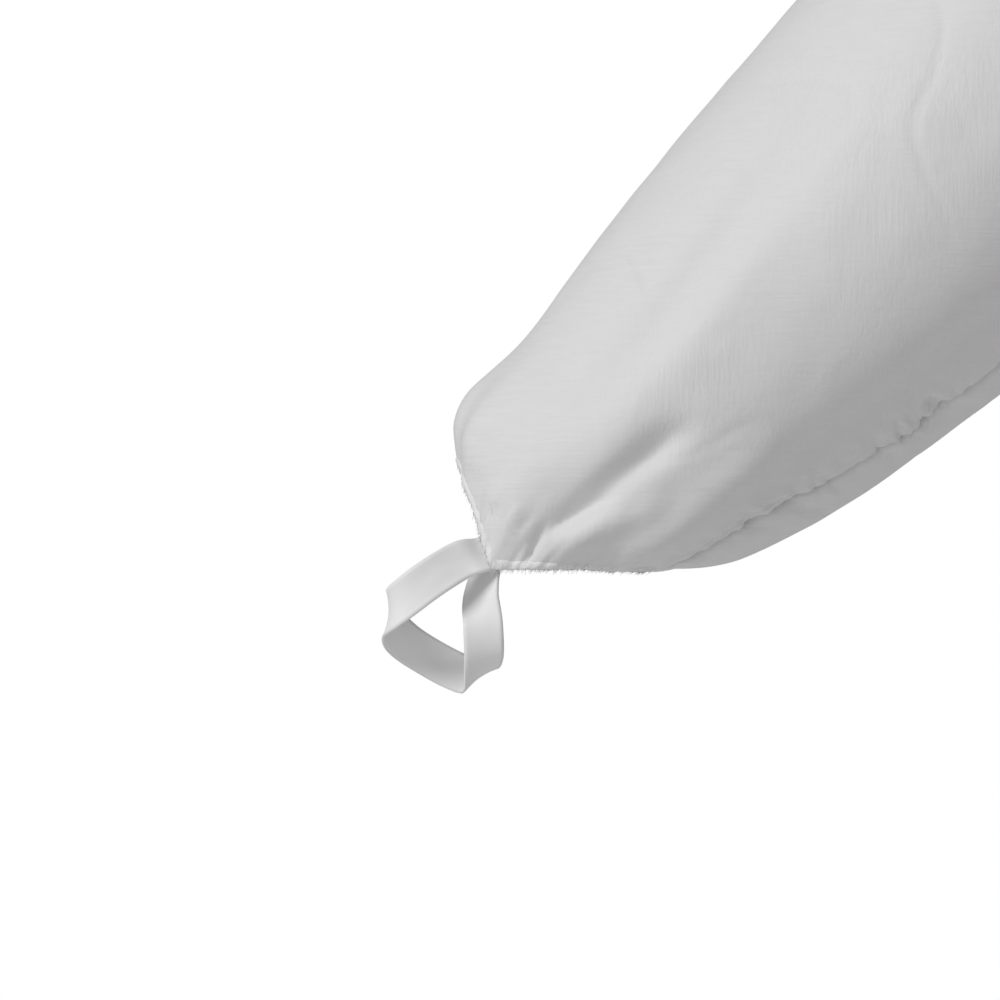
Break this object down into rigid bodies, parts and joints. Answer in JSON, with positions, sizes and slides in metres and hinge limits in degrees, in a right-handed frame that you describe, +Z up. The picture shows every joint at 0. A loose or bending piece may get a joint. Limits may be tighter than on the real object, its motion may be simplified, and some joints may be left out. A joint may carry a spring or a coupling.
{
  "type": "hooded coverall",
  "caption": "Worn-form hooded protective coverall of thin white cloth, with front zip, gathered waist, elastic face, cuff and ankle edges, and tape thumb loops.",
  "frame": {"origin": "between the wearer's shoulders, where the garment hangs", "axes": "+Z up along the garment; the front faces -Y; the wearer's right side is at -X"},
  "size_m": [1.2732, 0.317, 1.7475],
  "materials": {
    "cloth": "thin white non-woven cloth, soft sheen",
    "edge": "overlocked elastic edge, matt",
    "tape": "flat woven tape",
    "nylon": "white nylon"
  },
  "bodies": {
    "garment": {"front_left": "cloth", "front_right": "cloth", "back_left": "cloth", "back_right": "cloth", "sleeve_left": "cloth", "sleeve_right": "cloth", "hood_left": "cloth", "hood_right": "cloth", "cuff_left": "edge", "cuff_right": "edge", "ankle_edge_left": "edge", "ankle_edge_right": "edge", "face_edge_left": "edge", "face_edge_right": "edge", "thumb_loop_left": "tape", "thumb_loop_right": "tape", "zip_tape_left": "tape", "zip_tape_right": "tape", "zip_chain": "nylon", "zip_slider": "nylon"},
    "pull_tab": {"zip_pull": "nylon"}
  },
  "joints": [
    {"name": "pull_swing", "type": "hinge", "parent": "garment", "child": "pull_tab", "pos_m": [0, -0.09222, 0.04498], "axis": [-1, 0, 0], "range_deg": [0, 150]}
  ]
}
